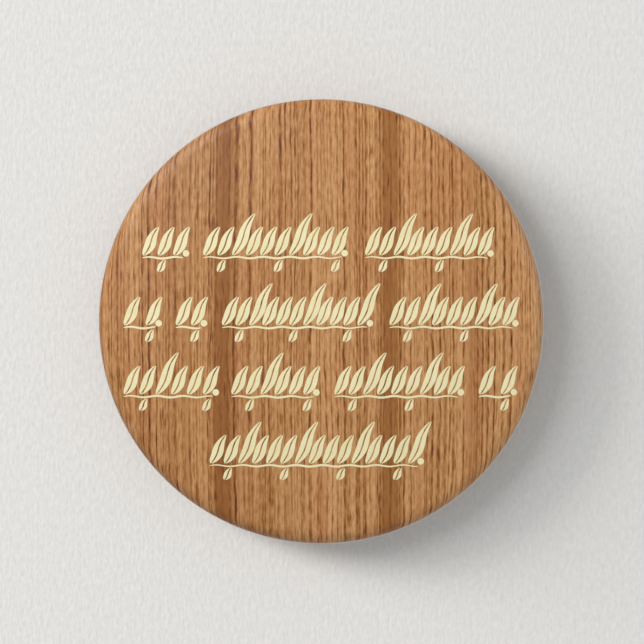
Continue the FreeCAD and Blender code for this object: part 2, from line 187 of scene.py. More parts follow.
# %% [markdown]
# ## Shader helpers
#
# The finishes read Object coordinates or a UV map in millimetres, so a pattern keeps its true size
# and moves with its piece. A small class keeps the node wiring short: each call makes one node and
# sets its inputs to numbers, colours or other nodes' outputs.


# %% Short way to wire nodes
class Finish:
    """One material and a short way to add nodes to it."""

    def __init__(self, name):
        self.material = bpy.data.materials.new(name)
        self.material.use_nodes = True
        self.nodes = self.material.node_tree.nodes
        self.links = self.material.node_tree.links
        self.nodes.clear()
        self.out = self.nodes.new("ShaderNodeOutputMaterial")
        self.place = self.nodes.new("ShaderNodeTexCoord").outputs["Object"]

    def node(self, kind, inputs, output=0, **settings):
        """Adds a node, applies its settings and inputs, and gives back one of its outputs."""
        made = self.nodes.new("ShaderNode" + kind)
        for key, value in settings.items():
            setattr(made, key, value)
        for key, value in inputs.items():
            if isinstance(value, bpy.types.NodeSocket):
                self.links.new(value, made.inputs[key])
            else:
                made.inputs[key].default_value = value
        return made.outputs[output]

    def stretched(self, period_mm, offset=(0, 0, 0), source=None):
        """Object coordinates scaled so that one texture unit is period_mm long on each axis."""
        scale = [1 / (period * MM) if period else 0 for period in period_mm]
        vector = self.place if source is None else source
        return self.node("Mapping", {"Vector": vector, "Scale": scale, "Location": offset})

    def noise(self, period_mm, detail=2.0, roughness=0.5, offset=(0, 0, 0), source=None):
        """Fractal noise from 0 to 1, mean 0.5, with the given length of one cell on each axis."""
        vector = self.stretched(period_mm, offset, source)
        inputs = {"Vector": vector, "Scale": 1.0, "Detail": detail, "Roughness": roughness}
        return self.node("TexNoise", inputs)

    def math(self, operation, a, b=0.0, clamp=False):
        return self.node("Math", {0: a, 1: b}, operation=operation, use_clamp=clamp)

    def times(self, a, b):
        return self.math("MULTIPLY", a, b)

    def less(self, a, b):
        return self.math("SUBTRACT", a, b)

    def total(self, *parts):
        """The sum of several values."""
        added = parts[0]
        for part in parts[1:]:
            added = self.math("ADD", added, part)
        return added

    def swing(self, noise, width):
        """Turns noise of 0 to 1 into a value that swings by half of width to either side of 0."""
        return self.times(self.less(noise, 0.5), width)

    def span(self, value, from_low, from_high, to_low=0.0, to_high=1.0, smooth=False):
        """Carries a value from one range to another, held inside the second."""
        inputs = {0: value, 1: from_low, 2: from_high, 3: to_low, 4: to_high}
        kind = "SMOOTHSTEP" if smooth else "LINEAR"
        return self.node("MapRange", inputs, interpolation_type=kind, clamp=True)

    def fade(self, value, near, far, height=1.0):
        """height as far as near, and from there a smooth fall to 0 at far."""
        return self.span(value, near, far, height, 0.0, smooth=True)

    def ramp(self, value, stops):
        """A colour ramp: stops are (position, sRGB colour from 0 to 255)."""
        made = self.nodes.new("ShaderNodeValToRGB")
        self.links.new(value, made.inputs[0])
        elements = made.color_ramp.elements
        elements[0].position, elements[1].position = stops[0][0], stops[-1][0]
        for position, _ in stops[1:-1]:
            elements.new(position)
        for element, (_, colour) in zip(elements, stops):
            element.color = paint(*colour)
        return made.outputs[0]

    def mix(self, factor, a, b, blend_type="MIX"):
        """Mixes two colours, each a socket or an (r, g, b, 1) colour."""
        made = self.nodes.new("ShaderNodeMix")
        made.data_type = "RGBA"
        made.blend_type = blend_type
        for index, value in ((0, factor), (6, a), (7, b)):
            if isinstance(value, bpy.types.NodeSocket):
                self.links.new(value, made.inputs[index])
            else:
                made.inputs[index].default_value = value
        return made.outputs[2]

    def speckled(self, colour, speck):
        """A colour times a value near 1 that varies over the surface."""
        grey = self.node("CombineColor", {"Red": speck, "Green": speck, "Blue": speck})
        return self.mix(1.0, colour, grey, blend_type="MULTIPLY")

    def bump(self, height, depth_mm, strength=1.0):
        """A bump whose height of 0 to 1 is depth_mm deep."""
        inputs = {"Height": height, "Distance": depth_mm * MM, "Strength": strength}
        return self.node("Bump", inputs)

    def finish(self, shader):
        self.links.new(shader, self.out.inputs["Surface"])
        return self.material


def paint(red, green, blue):
    """An sRGB colour from 0 to 255 as the linear, opaque colour that shaders use."""
    share = np.array([red, green, blue]) / 255
    linear = np.where(share > 0.04045, ((share + 0.055) / 1.055) ** 2.4, share / 12.92)
    return (*(float(value) for value in linear), 1.0)


# %% [markdown]
# ## The badge's outline
#
# The press pulls film, paper and tinplate over one die, so all of them follow the same rim: a
# shallow dome, a tight shoulder, a short straight side and a curl round to the rear. Film and paper
# run on past the curl and are tucked up inside it. One function gives that run at any depth below
# the outermost surface, and a sheet is the run at its outer depth joined to the run at its inner
# depth, so neighbouring sheets can't cross.

# %% Die sizes and a sheet's outline
DOME_RADIUS, DOME_APEX = 190.0, -5.9
SHOULDER_RADIUS, BADGE_RADIUS = 2.0, 28.575
CURL_RADIUS, REAR_FLAT_END = 1.1, 26.6
FOLD_RADIUS, TUCK_END = 0.6, -1.8

DOME_CENTRE = (0.0, DOME_APEX + DOME_RADIUS)
SHOULDER_X = BADGE_RADIUS - SHOULDER_RADIUS
TO_SHOULDER = DOME_RADIUS - SHOULDER_RADIUS
SHOULDER_CENTRE = (SHOULDER_X, DOME_CENTRE[1] - math.sqrt(TO_SHOULDER**2 - SHOULDER_X**2))
SHOULDER_START = math.degrees(math.asin(SHOULDER_X / TO_SHOULDER))


def sheet_run(depth):
    """The (r, y) run of a surface depth mm down: dome, shoulder, side, curl, fold, tuck."""
    dome = arc(DOME_CENTRE, DOME_RADIUS - depth, 0, SHOULDER_START, step=0.8)
    shoulder = arc(SHOULDER_CENTRE, SHOULDER_RADIUS - depth, SHOULDER_START, 90, step=0.09)
    curl_centre = (BADGE_RADIUS - CURL_RADIUS, -CURL_RADIUS)
    curl = arc(curl_centre, CURL_RADIUS - depth, 90, 180, step=0.1)
    fold = arc((REAR_FLAT_END, -FOLD_RADIUS), FOLD_RADIUS - depth, 180, 270, step=0.12)
    tuck = [[REAR_FLAT_END - FOLD_RADIUS + depth, TUCK_END]]
    return np.concatenate([dome, shoulder[1:], curl, fold, tuck])


def sheet(outer_depth, inner_depth):
    """The closed outline of one sheet: out along its outside and back along its inside."""
    return np.concatenate([sheet_run(outer_depth), sheet_run(inner_depth)[::-1]])


FILM_DEPTHS, PAPER_DEPTHS = (0.0, 0.08), (0.11, 0.23)
AROUND = 360
print(f"dome meets shoulder {SHOULDER_START:.2f} degrees off the axis")

# %% [markdown]
# ## The wood-grain print
#
# The paper is printed with plain-sawn oak: pale tan wood with fine darker streaks along the grain,
# short open pores, and two broad browner bands of late wood. A scan could be laid on as an image, but a
# procedural print has no repeat and bakes at any size. Ring lines are a noise squeezed across the grain
# and drawn out past the disc's height, cut by a threshold, and evenly spaced rows join them. A shorter
# noise breaks both into dashes. Softer streaks and pores are added, and the whole is read through a
# ramp of ink colours. The lines waver, because the coordinate across them is first pushed by a slow
# noise and a quicker one. The ink is also made a little lighter towards the right: that is painted
# light, which evens out the shade that the key light from the upper left leaves on the right side.
#
# The sheet is printed flat and pressed afterwards, so the pattern is laid out on the flat disc. A
# UV map carries that: it measures from the middle along the profile, not straight across, so the
# grain wraps over the rim without stretching into bars.

# %% Wood-grain ink on paper
WOOD_INKS = (
    (0.00, (100, 40, 0)),
    (0.18, (135, 73, 5)),
    (0.36, (162, 105, 45)),
    (0.55, (187, 133, 79)),
    (0.74, (208, 157, 104)),
    (1.00, (228, 180, 128)),
)
# painted light: how much lighter the ink gets from the left rim to the right rim, which evens out the
# shade that the key light from the upper left leaves on the right side
PAINTED_LIGHT_TO_THE_RIGHT = 0.10
# middle of the band, half its width, both across the grain in mm, and how much darker it is
DARK_BANDS = ((-12.5, 1.5, 0.27), (8.8, 1.3, 0.30), (19.0, 0.6, 0.08), (-17.0, 0.4, 0.08))
CALMER_IN_BAND, EDGE_SHARE = 0.55, 1.1
RING_PITCH, RING_SHIFT, DEEPEST_STREAK = 0.85, 2.2, 0.62
WANDER_MM, WOBBLE_MM = 0.9, 0.22
MIDDLE_TONE, BROAD_SWING, MIDDLE_SWING, SHORT_SWING = 0.655, 0.40, 0.60, 0.76


def wood_print():
    """Oak grain along Z of the flat disc, as offset ink on uncoated paper."""
    wood = Finish("oak_print_on_paper")
    flat = wood.node("UVMap", {}, uv_map="flat_disc")
    upright = {"Vector": flat, "Scale": (MM, MM, MM), "Rotation": (math.radians(90), 0, 0)}
    wood.place = wood.node("Mapping", upright)
    wander = wood.noise((9, 0, 26), detail=1.0, offset=(3.1, 0, 0.7))
    wobble = wood.noise((1.3, 0, 2.6), detail=1.0, offset=(0.6, 0, 4.4))
    push = wood.total(wood.swing(wander, WANDER_MM * MM), wood.swing(wobble, WOBBLE_MM * MM))
    shift = wood.node("CombineXYZ", {"X": push})
    grain = wood.node("VectorMath", {0: wood.place, 1: shift}, operation="ADD")
    across = wood.node("SeparateXYZ", {"Vector": grain}, output="X")

    def layer(width, length, offset, **looks):
        """Noise on the pushed grain: a cell's width across it and length along it, in mm."""
        return wood.noise((width, 0, length), offset=(offset[0], 0, offset[1]), source=grain, **looks)

    broad = wood.swing(layer(6.5, 90, (8.3, 2.0), detail=1.0), BROAD_SWING)
    middle = wood.swing(layer(1.7, 300, (1.7, 5.0), detail=1.0), MIDDLE_SWING)
    short = wood.swing(layer(0.30, 1.3, (2.6, 1.0)), SHORT_SWING)
    tone = wood.total(broad, middle, short)

    ring_lines = wood.fade(layer(0.44, 260, (4.4, 9.0), detail=1.5, roughness=0.6), 0.32, 0.53, 0.46)
    uneven = layer(3.4, 220, (7.7, 2.5))
    ring_count = wood.math("DIVIDE", across, RING_PITCH * MM)
    ring_count = wood.total(ring_count, wood.times(uneven, RING_SHIFT))
    from_row = wood.math("ABSOLUTE", wood.less(wood.math("FRACT", ring_count), 0.5))
    row_depth = wood.span(layer(1.0, 240, (0.9, 8.2), detail=1.0), 0.35, 0.65, 0.10, 0.50)
    row = wood.times(wood.fade(from_row, 0.03, 0.21), row_depth)
    broken = wood.span(layer(0.40, 2.0, (9.1, 6.0)), 0.34, 0.62, 0.30, 1.0)
    streaks = wood.math("MINIMUM", wood.total(ring_lines, row), DEEPEST_STREAK)
    tone = wood.less(tone, wood.times(streaks, broken))

    for place, half_width, darker in DARK_BANDS:
        away = wood.math("ABSOLUTE", wood.less(across, place * MM))
        inside = wood.fade(away, 0.4 * half_width * MM, 1.2 * half_width * MM)
        calm = wood.less(1.0, wood.times(inside, CALMER_IN_BAND))
        tone = wood.less(wood.times(tone, calm), wood.times(inside, darker))
        from_edge = wood.math("ABSOLUTE", wood.less(away, half_width * MM))
        edge = wood.fade(from_edge, 0.04 * MM, 0.22 * MM, EDGE_SHARE * darker)
        tone = wood.less(tone, wood.times(edge, broken))

    pore_cells = layer(0.32, 5, (6.2, 3.0), detail=1.0)
    tone = wood.less(tone, wood.span(pore_cells, 0.60, 0.72, 0.0, 0.30, smooth=True))
    # painted light: ink lighter towards the right stands in for light on that side
    painted_light_across = wood.times(across, PAINTED_LIGHT_TO_THE_RIGHT / (2 * BADGE_RADIUS * MM))
    ink = wood.ramp(wood.math("ADD", wood.total(tone, painted_light_across), MIDDLE_TONE, clamp=True), WOOD_INKS)

    redder = wood.span(layer(3.2, 30, (5.5, 7.0), detail=1.0), 0.45, 0.68, 0.0, 0.35)
    ink = wood.mix(redder, ink, paint(232, 190, 172), blend_type="MULTIPLY")
    mottle = wood.span(wood.noise((0.25, 0.25, 0.25)), 0.2, 0.8, 0.93, 1.05)
    ink = wood.speckled(ink, mottle)
    fibres = wood.noise((0.12, 0.12, 0.5), detail=3.0)
    inputs = {"Base Color": ink, "Roughness": 0.62, "Specular IOR Level": 0.15}
    inputs["Normal"] = wood.bump(fibres, 0.002, 0.5)
    return wood.finish(wood.node("BsdfPrincipled", inputs))


PAPER = wood_print()


# %% The printed disc
def give_flat_disc(piece, profile, around):
    """Adds the UV map of the flat sheet, in mm: (s cos a, s sin a), s the length along the profile."""
    along = np.concatenate([[0], np.cumsum(np.linalg.norm(np.diff(profile, axis=0), axis=1))])
    reach = np.minimum(along, along[-1] - along)[1:-1, None]
    angle = np.linspace(0, 2 * math.pi, around, endpoint=False)[None, :]
    u = np.append((reach * np.cos(angle)).ravel(), [0.0, 0.0])
    v = np.append((reach * np.sin(angle)).ravel(), [0.0, 0.0])
    give_uv(piece, "flat_disc", u, v)
    print(f"flat sheet: {2 * reach.max():.1f} mm across before pressing")


paper_outline = sheet(*PAPER_DEPTHS)
printed_disc = make_piece("printed_disc_oak", *turned(paper_outline, AROUND), PAPER)
give_flat_disc(printed_disc, paper_outline, AROUND)
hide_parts("printed_disc")
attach(printed_disc, "badge")

# %% [markdown]
# ## The leaf ornament
#
# Over the grain the disc carries four centred rows in thick cream ink, cut as a slanted stencil. The
# rows here are sprigs of leaves: each leaf leans with the slant, is split along its midrib by the
# stencil's gap, and grows from a thin stem that runs along the row. Flat colour in the wood's
# shader would do, but real stencil ink stands a little above the paper and has a cut edge, so the
# leaves are thin closed solids that follow the dome. One leaf half is a ribbon with four corners
# in section, carried from foot to tip, and all halves of all leaves are worked out in one array.

# %% Rows of the ornament
# height of a row's foot line, and where its sprigs start and stop across the badge, in mm
SPRIG_ROWS = (
    (8.4, ((-22.6, -16.7), (-14.8, 3.5), (5.8, 22.1))),
    (-0.5, ((-25.0, -20.2), (-18.3, -14.4), (-12.4, 6.7), (8.9, 25.3))),
    (-9.3, ((-25.0, -12.9), (-11.2, -0.1), (1.9, 18.3), (20.3, 25.1))),
    (-18.1, ((-14.0, 13.2),)),
)
LEAF_PITCH, LEAF_REACH = 1.7, 1.95
LEAF_HEIGHT, TALL_HEIGHT, BUD_HEIGHT = 3.6, 5.3, 1.5
LEAF_HALF_WIDTH, MIDRIB_GAP = 0.57, 0.18
SLANT = math.tan(math.radians(27))
LEAF_SWAY, EDGE_DROOP, SHORTEST_SHARE = 0.14, 0.35, 0.35
STEM_DROP, STEM_WAVE, STEM_THIN, STEM_SWELL = 0.30, 0.10, 0.04, 0.10
STEM_BEFORE, STEM_AFTER = 0.2, 1.1
BERRY_RADIUS, BERRY_AFTER, BERRY_RISE = 0.42, 1.45, 0.25
INK_DEPTHS = (0.096, 0.108)


def onto_dome(x, z, depth):
    """Lays points of the (x, z) plane on the dome at a depth: y = centre - sqrt(R^2 - x^2 - z^2)."""
    radius = DOME_RADIUS - depth
    return np.stack([x, DOME_CENTRE[1] - np.sqrt(radius**2 - x**2 - z**2), z], axis=-1)


def ribbons(right, left):
    """Closed ribbons of ink between a right and a left edge, each of shape (ribbons, steps, 2).

    Each has four corners in section, right and left at both ink depths, and both ends closed.
    """
    outer, inner = INK_DEPTHS
    corners = ((right, outer), (left, outer), (left, inner), (right, inner))
    laid = [onto_dome(edge[..., 0], edge[..., 1], depth) for edge, depth in corners]
    points = np.stack(laid, axis=2)
    count, steps = points.shape[:2]
    last = (steps - 1) * 4
    caps = np.array([[0, 1, 2, 3], [last + 3, last + 2, last + 1, last]])
    one = np.concatenate([grid_quads(steps, 4, wrap_columns=True), caps])
    faces = (one[None] + (np.arange(count) * steps * 4)[:, None, None]).reshape(-1, 4)
    return points.reshape(-1, 3) * MM, faces


# %% Leaves, stems and berries
def leaf_halves(feet, heights, side):
    """One side of every leaf: its midrib edge and its outer edge, in (x, z).

    The midrib leans with the slant and bows in a shallow S. The outer edge stands off by
    half width * sin(pi u^0.75)^0.8, where u runs from 0 at the foot to 1 at the tip.
    """
    u = np.linspace(0, 1, 15)[None, :]
    height = heights[:, None]
    sway = LEAF_SWAY * np.sin(2 * math.pi * u) * height / LEAF_HEIGHT
    x = feet[:, 0:1] + height * u * SLANT + sway
    z = feet[:, 1:2] + height * u
    swell = np.sin(math.pi * u**0.75).clip(0) ** 0.8
    slimness = SHORTEST_SHARE + (1 - SHORTEST_SHARE) * height / LEAF_HEIGHT
    half_width = LEAF_HALF_WIDTH * np.minimum(1, slimness)
    gap = side * 0.5 * MIDRIB_GAP * np.minimum(1, 0.3 + 2.2 * swell)
    edge = side * (0.04 + 0.5 * MIDRIB_GAP + half_width * swell)
    droop = EDGE_DROOP * SLANT
    near = np.stack([x + gap, z - droop * gap], axis=-1)
    far = np.stack([x + edge, z - droop * edge], axis=-1)
    return near, far


def sprig_plan():
    """Feet and heights of all leaves and buds, and the stems' and berries' places.

    Leaves stand evenly in each sprig, every fourth is tall, and a small bud hangs below the stem
    near every fourth. Each sprig ends in a berry.
    """
    feet, heights, ends, berries = [], [], [], []
    for foot_line, sprigs in SPRIG_ROWS:
        for start, stop in sprigs:
            room = stop - start - LEAF_REACH
            count = int(room / LEAF_PITCH) + 1
            x = start + np.linspace(0, room, count)
            feet.append(np.stack([x, np.full(count, foot_line)], axis=-1))
            tall = (np.arange(count) % 4 == 2) & (count > 3)
            heights.append(np.where(tall, TALL_HEIGHT, LEAF_HEIGHT))
            hung = x[1::4] + 0.5 * LEAF_PITCH
            bud_z = foot_line - 2 * STEM_DROP - BUD_HEIGHT
            bud_x = hung - (BUD_HEIGHT + STEM_DROP) * SLANT
            feet.append(np.stack([bud_x, np.full(len(hung), bud_z)], axis=-1))
            heights.append(np.full(len(hung), BUD_HEIGHT))
            ends.append((start - STEM_BEFORE, x[-1] + STEM_AFTER, foot_line - STEM_DROP))
            berries.append((x[-1] + BERRY_AFTER, foot_line + BERRY_RISE))
    return np.concatenate(feet), np.concatenate(heights), np.array(ends), np.array(berries)


def stem_edges(ends):
    """Right and left edge of each stem: z = level + wave sin, and it tapers to both its ends."""
    u = np.linspace(0, 1, 60)[None, :]
    start, stop, level = ends[:, 0:1], ends[:, 1:2], ends[:, 2:3]
    x = start + (stop - start) * u
    z = level + STEM_WAVE * np.sin(math.pi * (x - start) / LEAF_PITCH)
    half = STEM_THIN + STEM_SWELL * np.sin(math.pi * u) ** 0.5
    return np.stack([x, z - half], axis=-1), np.stack([x, z + half], axis=-1)


def berry_edges(places):
    """Right and left edge of each round berry: x = middle +- R sin t, z = middle - R cos t."""
    turn = np.linspace(0.02, math.pi - 0.02, 15)[None, :]
    across, up = BERRY_RADIUS * np.sin(turn), -BERRY_RADIUS * np.cos(turn)
    x, z = places[:, 0:1], places[:, 1:2] + up
    return np.stack([x + across, z], axis=-1), np.stack([x - across, z], axis=-1)


# %% [markdown]
# ## Cream ink
#
# Stencil ink goes on thick and opaque, in one pale yellow-green cream, but not quite evenly. So
# the cream is varied by a few percent with two sizes of noise, and a fine bump gives the dried
# skin its tooth.

# %% Ink finish and the ornament's mesh
def cream_ink():
    """Opaque cream ink with a faint mottle and a dry, slightly pitted skin."""
    ink = Finish("cream_stencil_ink")
    blotch = ink.span(ink.noise((2.2, 2.2, 2.2), detail=3.0), 0.3, 0.7)
    cream = ink.mix(blotch, paint(240, 232, 184), paint(247, 240, 198))
    speck = ink.span(ink.noise((0.16, 0.16, 0.16)), 0.25, 0.75, 0.95, 1.04)
    cream = ink.speckled(cream, speck)
    pits = ink.noise((0.1, 0.1, 0.1))
    inputs = {"Base Color": cream, "Roughness": 0.55, "Specular IOR Level": 0.2}
    inputs["Normal"] = ink.bump(pits, 0.003, 0.4)
    return ink.finish(ink.node("BsdfPrincipled", inputs))


feet, heights, stem_ends, berry_places = sprig_plan()
left_near, left_far = leaf_halves(feet, heights, -1)
right_near, right_far = leaf_halves(feet, heights, 1)
parts = [ribbons(left_near, left_far), ribbons(right_far, right_near)]
parts += [ribbons(*stem_edges(stem_ends)), ribbons(*berry_edges(berry_places))]
starts = np.cumsum([0] + [len(points) for points, _ in parts])
points = np.concatenate([points for points, _ in parts])
faces = [quads + start for (_, quads), start in zip(parts, starts)]
print(len(feet), "leaves and buds in", len(stem_ends), "sprigs")
ornament = make_piece("leaf_ornament", points, faces, cream_ink(), sharp_angle=40)
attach(ornament, "badge")

# %% [markdown]
# ## The clear film
#
# A disc of clear polyester film, 0.08 mm thick, protects the print and is pulled over the same
# die. It adds no colour, only a satin gloss that grows towards grazing angles and draws a pale line
# round the rim. Refracting glass would need many light paths for the same look, so the film is
# clear with a mirror part set by Fresnel's law. Its inner face touches the paper on the real badge
# and reflects nothing, so the mirror part is switched off there. Handling leaves hairline
# scratches, drawn here as stretched noise in the roughness.

# %% Film finish and piece
def satin_film():
    """Clear film: transparent, mixed with a satin reflection by Fresnel on its outer face only."""
    film = Finish("satin_clear_film")
    hairline = film.noise((0.12, 0.12, 7), offset=(0.4, 0.9, 0.2))
    crossing = film.noise((6, 0.1, 0.14), offset=(2.4, 0.3, 1.2))
    roughness = film.span(film.total(hairline, crossing), 0.6, 1.4, 0.36, 0.50)
    ripple = film.bump(film.noise((5, 5, 5)), 0.02, 0.5)
    gloss = {"Color": (1, 1, 1, 1), "Roughness": roughness, "Normal": ripple}
    mirror = film.node("BsdfAnisotropic", gloss)
    fresnel = film.node("Fresnel", {"IOR": 1.4})
    inside = film.node("NewGeometry", {}, output="Backfacing")
    share = film.times(fresnel, film.less(1.0, inside))
    clear = film.node("BsdfTransparent", {"Color": (0.99, 0.99, 0.985, 1)})
    return film.finish(film.node("MixShader", {0: share, 1: clear, 2: mirror}))


film_outline = sheet(*FILM_DEPTHS)
clear_film = make_piece("clear_film_cover", *turned(film_outline, AROUND), satin_film())
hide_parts("clear_film")
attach(clear_film, "badge")

# %% [markdown]
# ## Tinplate
#
# Shell and back are cut from tinplate: thin steel rolled and coated with tin. Rolling leaves fine
# parallel lines, the tin gives a soft silvery sheen, and stacking leaves scuffs and dull smudges.
# The lines are a noise squeezed across the rolling direction, in colour, roughness and bump. The
# scuffs are thin dull strokes at an angle, and smudges are a slow noise in the roughness.


# %% Tinplate finish
def tinplate(name, rolled_along, silver):
    """Rolled tinplate. rolled_along gives the lines' length on each axis in mm, silver its colour."""
    tin = Finish(name)
    lines = tin.noise(rolled_along, detail=3.0, roughness=0.6)
    slanted = {"Vector": tin.place, "Rotation": (0.0, math.radians(38), 0.0)}
    stroke_place = tin.node("Mapping", slanted)
    strokes = tin.noise((0.09, 3, 9), detail=1.0, offset=(2, 5, 1), source=stroke_place)
    scuffs = tin.span(strokes, 0.66, 0.76)
    smudge = tin.span(tin.noise((7, 7, 7), detail=3.0), 0.35, 0.7)
    dark = tuple(0.82 * value for value in silver)
    colour = tin.mix(tin.span(lines, 0.25, 0.75), (*dark, 1), (*silver, 1))
    colour = tin.mix(tin.times(smudge, 0.25), colour, (0.52, 0.50, 0.47, 1))
    roughness = tin.span(lines, 0.2, 0.8, 0.24, 0.36)
    roughness = tin.total(roughness, tin.times(smudge, 0.10), tin.times(scuffs, 0.14))
    height = tin.less(lines, tin.times(scuffs, 0.5))
    inputs = {"Base Color": colour, "Metallic": 1.0, "Roughness": roughness}
    inputs["Normal"] = tin.bump(height, 0.004, 0.6)
    return tin.finish(tin.node("BsdfPrincipled", inputs))


shell_tin = tinplate("shell_tinplate_rolled", (9, 9, 0.11), (0.70, 0.70, 0.69))
plate_tin = tinplate("plate_tinplate_rolled", (0.11, 4, 14), (0.68, 0.68, 0.665))
front_shell = frame["nodes"]["front_shell"]
front_shell.data.materials.clear()
front_shell.data.materials.append(shell_tin)
print("front shell keeps its CAD shape and gets", shell_tin.name)

# %% [markdown]
# ## The back plate
#
# The back is pressed in one stroke: a flat floor, a step up to a raised ring, a rounded edge and a
# flange whose flared lip springs outwards under the tuck. Then two tongues are lanced out of the
# floor and raised into bridges for the wire. The press profile is turned about the axis, as for the
# sheets. Each bridge is a prism joined on and a smaller prism cut out, which leaves the open slot
# that lancing leaves; a boolean does both cleanly because every solid here is closed.

# %% Press profile of the plate
PLATE_THICKNESS, BEND_INSIDE, STEP_SLOPE = 0.3, 0.5, 45
FLOOR_Y, FLOOR_RADIUS, RING_Y = -1.25, 19.9, -0.55
FLANGE_RADIUS, EDGE_BEND, FLARE_Y, LIP_RADIUS = 25.85, 0.75, -1.6, 26.8
BEND_OUTSIDE = BEND_INSIDE + PLATE_THICKNESS


def line(start, stop, guard=0.08):
    """A straight run of the profile, with points close to both ends so that bends shade cleanly."""
    start, stop = np.array(start), np.array(stop)
    near = guard / np.linalg.norm(stop - start)
    share = np.array([0.0, near, 1 - near, 1.0]) if near < 0.4 else np.array([0.0, 1.0])
    return start + share[:, None] * (stop - start)


def plate_side(rear):
    """The plate's (r, y) run on its rear or front, from the middle out to the lip's end."""
    below = 0.0 if rear else PLATE_THICKNESS
    tight, wide = (BEND_INSIDE, BEND_OUTSIDE) if rear else (BEND_OUTSIDE, BEND_INSIDE)
    bends = BEND_INSIDE + BEND_OUTSIDE
    slope = math.radians(STEP_SLOPE)
    slope_run = (RING_Y - FLOOR_Y - bends * (1 - math.cos(slope))) / math.tan(slope)
    over_x = FLOOR_RADIUS + bends * math.sin(slope) + slope_run
    up = arc((FLOOR_RADIUS, FLOOR_Y + BEND_INSIDE), tight, 0, STEP_SLOPE)
    over = arc((over_x, RING_Y - BEND_OUTSIDE), wide, 180 + STEP_SLOPE, 180)
    edge_centre = (FLANGE_RADIUS - EDGE_BEND, RING_Y - EDGE_BEND)
    edge = arc(edge_centre, EDGE_BEND - below, 180, 90)
    flare = arc((FLANGE_RADIUS + BEND_INSIDE, FLARE_Y), tight, 270, 270 + STEP_SLOPE)
    reach = LIP_RADIUS - flare[-1, 0]
    lip = [flare[-1] + (reach, -reach * math.tan(slope))]
    floor = line((0, FLOOR_Y - below), up[0])
    ring = line(over[-1], edge[0])
    return np.concatenate([floor[:-1], up, over, ring[1:-1], edge, flare, lip])


# %% Bridges over the wire
WIRE_RADIUS, WIRE_GAP, WIRE_LINE_Z = 0.45, 0.03, 6.5
BRIDGE_PLACES, BRIDGE_WIDTH = (-8.5, 7.5), 3.2
SLOT_HALF, BRIDGE_SHOULDER, BRIDGE_LEAN, BRIDGE_CORNER = 1.75, 0.18, 33, 0.25
SLOT_OVERCUT = 0.002


def bridge_outline(lift, foot, widening):
    """Outline across the wire in (y, z): two leaning legs, a flat top and round corners between."""
    low = FLOOR_Y - foot
    high = FLOOR_Y + 2 * WIRE_RADIUS + 2 * WIRE_GAP + lift
    radius = BRIDGE_CORNER + lift
    reach = SLOT_HALF + widening
    sharp = reach - (high - low) * math.tan(math.radians(BRIDGE_LEAN))
    round_z = sharp - radius * math.tan(math.radians((90 - BRIDGE_LEAN) / 2))
    turn = np.radians(np.linspace(BRIDGE_LEAN - 90, 0, 9))
    y, z = high - radius + radius * np.cos(turn), radius * np.sin(turn) - round_z
    half = np.concatenate([[[low, -reach]], np.stack([y, z], axis=1)])
    return np.concatenate([half, half[::-1] * (1, -1)])[::-1] + (0, WIRE_LINE_Z)


def prism(name, outline, middle, width):
    """A closed prism along X: the outline at both ends, joined by quads, and two end faces."""
    x = np.array([middle - width / 2, middle + width / 2])
    ends = [np.column_stack([np.full(len(outline), value), outline]) for value in x]
    count = len(outline)
    caps = [np.arange(count)[None, :], (count + np.arange(count)[::-1])[None, :]]
    faces = [grid_quads(2, count, wrap_columns=True), *caps]
    return make_piece(name, np.concatenate(ends) * MM, faces, plate_tin)


def combine(target, tool, operation):
    """Applies one boolean to the target with the tool, and removes the tool."""
    change = target.modifiers.new(operation.lower(), "BOOLEAN")
    change.operation = operation
    change.object = tool
    change.solver = "EXACT"
    graph = bpy.context.evaluated_depsgraph_get()
    result = bpy.data.meshes.new_from_object(target.evaluated_get(graph))
    target.modifiers.clear()
    old, target.data = target.data, result
    bpy.data.meshes.remove(old)
    bpy.data.objects.remove(tool)


outline = np.concatenate([plate_side(rear=False), plate_side(rear=True)[::-1]])
back_plate = make_piece("back_plate_pressed", *turned(outline, AROUND), plate_tin)
for middle in BRIDGE_PLACES:
    raised = bridge_outline(PLATE_THICKNESS, PLATE_THICKNESS, BRIDGE_SHOULDER)
    combine(back_plate, prism("bridge_raised", raised, middle, BRIDGE_WIDTH), "UNION")
    lanced = bridge_outline(0.0, 2 * PLATE_THICKNESS, 0.0)
    combine(back_plate, prism("bridge_slot", lanced, middle, BRIDGE_WIDTH + SLOT_OVERCUT), "DIFFERENCE")
back_plate.data.shade_smooth()
back_plate.data.set_sharp_from_angle(angle=math.radians(30))
print("back plate with bridges:", len(back_plate.data.polygons), "faces")
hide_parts("back_plate")
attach(back_plate, "badge")

# %% [markdown]
# ## The pin wire
#
# The pin is one length of nickel-plated spring wire: a hook that catches the shank, a base leg under
# both bridges, a round spring bend, and the shank, ground to a point. A curve with a round bevel could
# give the tube too; here the wire is a mesh, whose centre line is laid out by straight runs and bends,
# and a circle is carried along it without twisting. The wire is cut in two under a bridge, where the
# cut can't be seen: the hook's half stays with the badge, and the other half runs from there across the
# spring bend to the shank and point.

# %% Centre lines from straight runs and bends
def wire_line(start, heading, moves, step=0.06):
    """Points along a bent wire. A move is ("straight", length) or ("bend", towards, radius, degrees).

    A bend turns the heading towards a direction square to it: middle - radius (cos t towards
    - sin t heading), with t from 0 to its angle.
    """
    place, heading = np.array(start, float), np.array(heading, float)
    line_points = [place[None, :]]
    for kind, *amount in moves:
        if kind == "straight":
            share = np.array([0.02, 0.5, 0.98, 1.0])[:, None]
            run = place + share * amount[0] * heading
        else:
            towards, radius, degrees = np.array(amount[0], float), amount[1], amount[2]
            count = max(int(radius * math.radians(degrees) / step), 8)
            turn = np.radians(np.linspace(0, degrees, count + 1))[1:, None]
            run = place + radius * ((1 - np.cos(turn)) * towards + np.sin(turn) * heading)
            heading = np.cos(turn[-1]) * heading + np.sin(turn[-1]) * towards
        line_points.append(run)
        place = run[-1]
    return np.concatenate(line_points)


